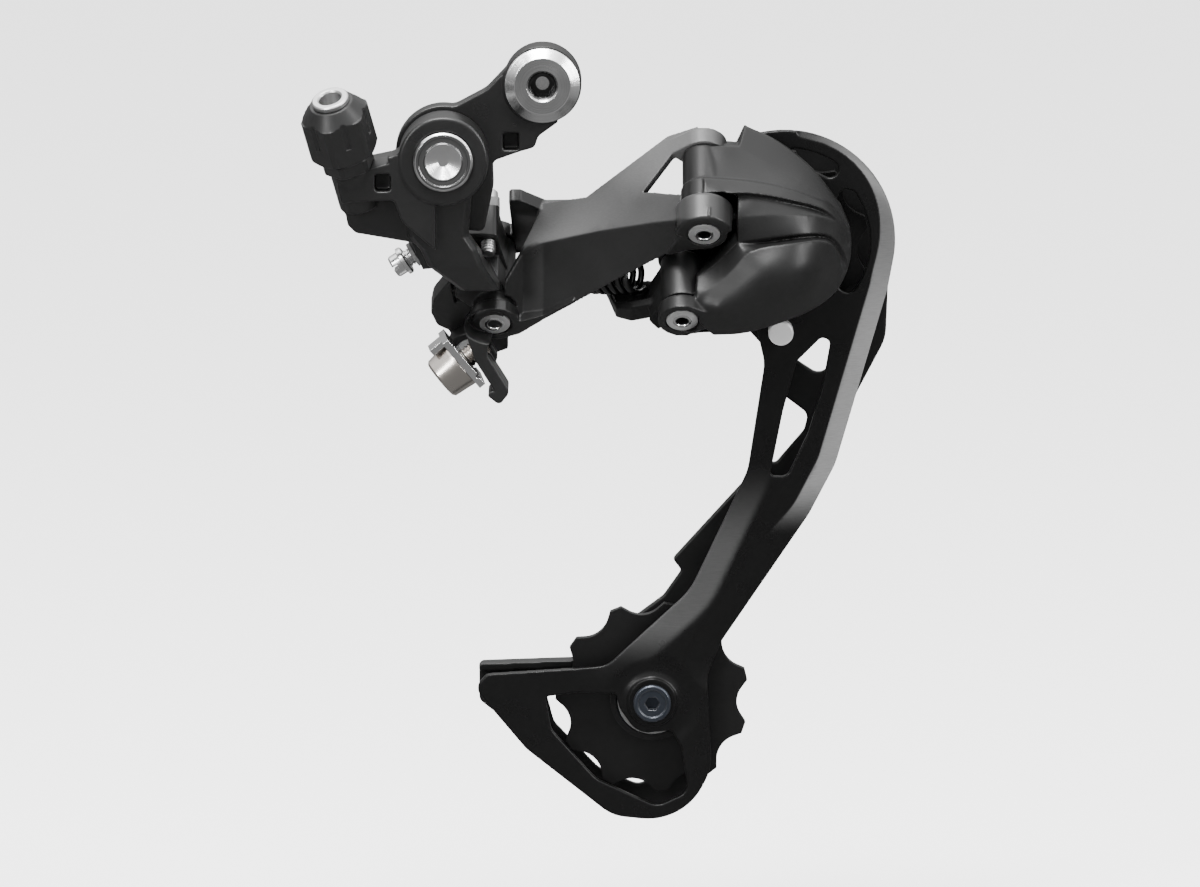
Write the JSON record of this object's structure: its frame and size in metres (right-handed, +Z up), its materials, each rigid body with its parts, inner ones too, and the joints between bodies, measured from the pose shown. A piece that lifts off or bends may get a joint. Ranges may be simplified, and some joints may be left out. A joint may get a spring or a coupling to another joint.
{
  "type": "rear derailleur",
  "caption": "Rear bicycle derailleur: hanger bolt, slanted parallelogram links and a long spring-loaded cage with guide and tension pulleys.",
  "frame": {"origin": "on the hanger bolt's axis, at the middle of its threaded length", "axes": "+X forward along the bicycle, +Y inboard towards the wheel and along the hanger bolt to its threaded end, +Z up"},
  "size_m": [0.1338, 0.0581, 0.1811],
  "materials": {
    "black_alloy": "satin",
    "black_steel": "satin",
    "dark_steel": "matte",
    "bright_steel": "turned",
    "clamp_steel": "turned",
    "pin_steel": "satin",
    "bolt_steel": "satin",
    "cap_steel": "satin",
    "hidden_steel": "satin",
    "spring_steel": "dark",
    "pulley_plastic": "satin",
    "knob_plastic": "satin",
    "grey_plastic": "matte",
    "seal_rubber": "matte",
    "bush_bronze": "sintered"
  },
  "bodies": {
    "hanger_link": {"bracket_link": "black_alloy", "upper_axle": "bright_steel", "upper_axle_washer": "hidden_steel", "upper_seal_ring": "seal_rubber"},
    "hanger_screw": {"hanger_bolt": "bright_steel", "hanger_bolt_ring": "hidden_steel"},
    "knuckle": {"bracket_knuckle": "black_alloy", "upper_axle_bush": "bush_bronze", "tension_screw_insert": "grey_plastic", "limit_plate": "grey_plastic", "adjuster_spring": "spring_steel", "outer_link_bush_rear": "bush_bronze", "inner_link_bush_rear": "bush_bronze", "return_spring": "spring_steel"},
    "adjuster": {"adjuster_knob": "knob_plastic", "adjuster_screw": "hidden_steel", "adjuster_ferrule": "hidden_steel"},
    "tension_adjuster": {"tension_screw": "bright_steel"},
    "high_limit": {"high_limit_screw": "hidden_steel"},
    "low_limit": {"low_limit_screw": "hidden_steel"},
    "outer_arm": {"outer_link": "black_alloy", "outer_link_pin_rear": "pin_steel", "outer_link_pin_front": "pin_steel", "cable_clamp_plate": "bright_steel"},
    "clamp_screw": {"cable_clamp_bolt": "clamp_steel"},
    "inner_arm": {"inner_link": "dark_steel", "inner_link_pin_rear": "pin_steel", "inner_link_bush_front": "bush_bronze"},
    "cage_pivot_knuckle": {"cage_knuckle": "black_alloy", "outer_link_bush_front": "bush_bronze", "inner_link_pin_front": "pin_steel", "cage_spring": "spring_steel"},
    "cage": {"outer_cage_plate": "black_steel", "inner_cage_plate": "dark_steel", "cage_axle": "hidden_steel", "cage_seal_ring": "seal_rubber", "cage_stop_pin": "bright_steel", "guide_pulley_bush": "bush_bronze", "guide_pulley_outer_cap": "cap_steel", "guide_pulley_inner_cap": "cap_steel", "guide_pulley_bolt": "bolt_steel", "tension_pulley_bush": "bush_bronze", "tension_pulley_outer_cap": "cap_steel", "tension_pulley_inner_cap": "cap_steel", "tension_pulley_bolt": "bolt_steel"},
    "guide_wheel": {"guide_pulley": "pulley_plastic"},
    "tension_wheel": {"tension_pulley": "pulley_plastic"}
  },
  "joints": [
    {"name": "hanger_screw_turn", "type": "hinge", "parent": "hanger_link", "child": "hanger_screw", "pos_m": [0, -0.0052, 0], "axis": [0, 1, 0], "continuous": true},
    {"name": "knuckle_swing", "type": "hinge", "parent": "hanger_link", "child": "knuckle", "pos_m": [-0.0222, -0.0152, -0.0157], "axis": [0, 1, 0], "range_deg": [0, 25]},
    {"name": "adjuster_turn", "type": "hinge", "parent": "knuckle", "child": "adjuster", "pos_m": [-0.0423, -0.0188, -0.021], "axis": [-0.2202, -0.4173, 0.8817], "continuous": true},
    {"name": "tension_screw_turn", "type": "hinge", "parent": "knuckle", "child": "tension_adjuster", "pos_m": [-0.0181, -0.0104, -0.032], "axis": [-0.8389, 0, -0.5443], "continuous": true},
    {"name": "high_limit_turn", "type": "hinge", "parent": "knuckle", "child": "high_limit", "pos_m": [-0.0124, 0.0011, -0.03389], "axis": [0, 0.7431, 0.6691], "continuous": true},
    {"name": "low_limit_turn", "type": "hinge", "parent": "knuckle", "child": "low_limit", "pos_m": [-0.0172, 0.0011, -0.03389], "axis": [0, 0.7431, 0.6691], "continuous": true},
    {"name": "outer_link_swing", "type": "hinge", "parent": "knuckle", "child": "outer_arm", "pos_m": [-0.011, 0.0054, -0.04764], "axis": [0, 0.7431, 0.6691], "range_deg": [0, 55], "stiffness_Nm_per_rad": 0.35, "springref_deg": -57.3, "deforming": ["return_spring"]},
    {"name": "clamp_screw_turn", "type": "hinge", "parent": "outer_arm", "child": "clamp_screw", "pos_m": [-0.0159, -0.0062, -0.0626], "axis": [-0.77, -0.05, -0.636], "continuous": true},
    {"name": "inner_link_swing", "type": "hinge", "parent": "knuckle", "child": "inner_arm", "pos_m": [-0.0159, 0.01477, -0.05805], "axis": [0, 0.7431, 0.6691], "range_deg": [0, 55]},
    {"name": "cage_knuckle_swing", "type": "hinge", "parent": "outer_arm", "child": "cage_pivot_knuckle", "pos_m": [0.0363, -0.01648, -0.02334], "axis": [0, 0.7431, 0.6691], "range_deg": [-55, 0]},
    {"name": "cage_swing", "type": "hinge", "parent": "cage_pivot_knuckle", "child": "cage", "pos_m": [0.0566, -0.0102, -0.0344], "axis": [0, -1, 0], "range_deg": [0, 95], "stiffness_Nm_per_rad": 0.5, "springref_deg": -68.75},
    {"name": "guide_pulley_turn", "type": "hinge", "parent": "cage", "child": "guide_wheel", "pos_m": [0.052, 0.0053, -0.0396], "axis": [0, 1, 0], "continuous": true},
    {"name": "tension_pulley_turn", "type": "hinge", "parent": "cage", "child": "tension_wheel", "pos_m": [0.0249, 0.0053, -0.1448], "axis": [0, 1, 0], "continuous": true}
  ],
  "couplings": [
    {"joint": "inner_link_swing", "follows": "outer_link_swing", "ratio": 1},
    {"joint": "cage_knuckle_swing", "follows": "outer_link_swing", "ratio": -1}
  ]
}
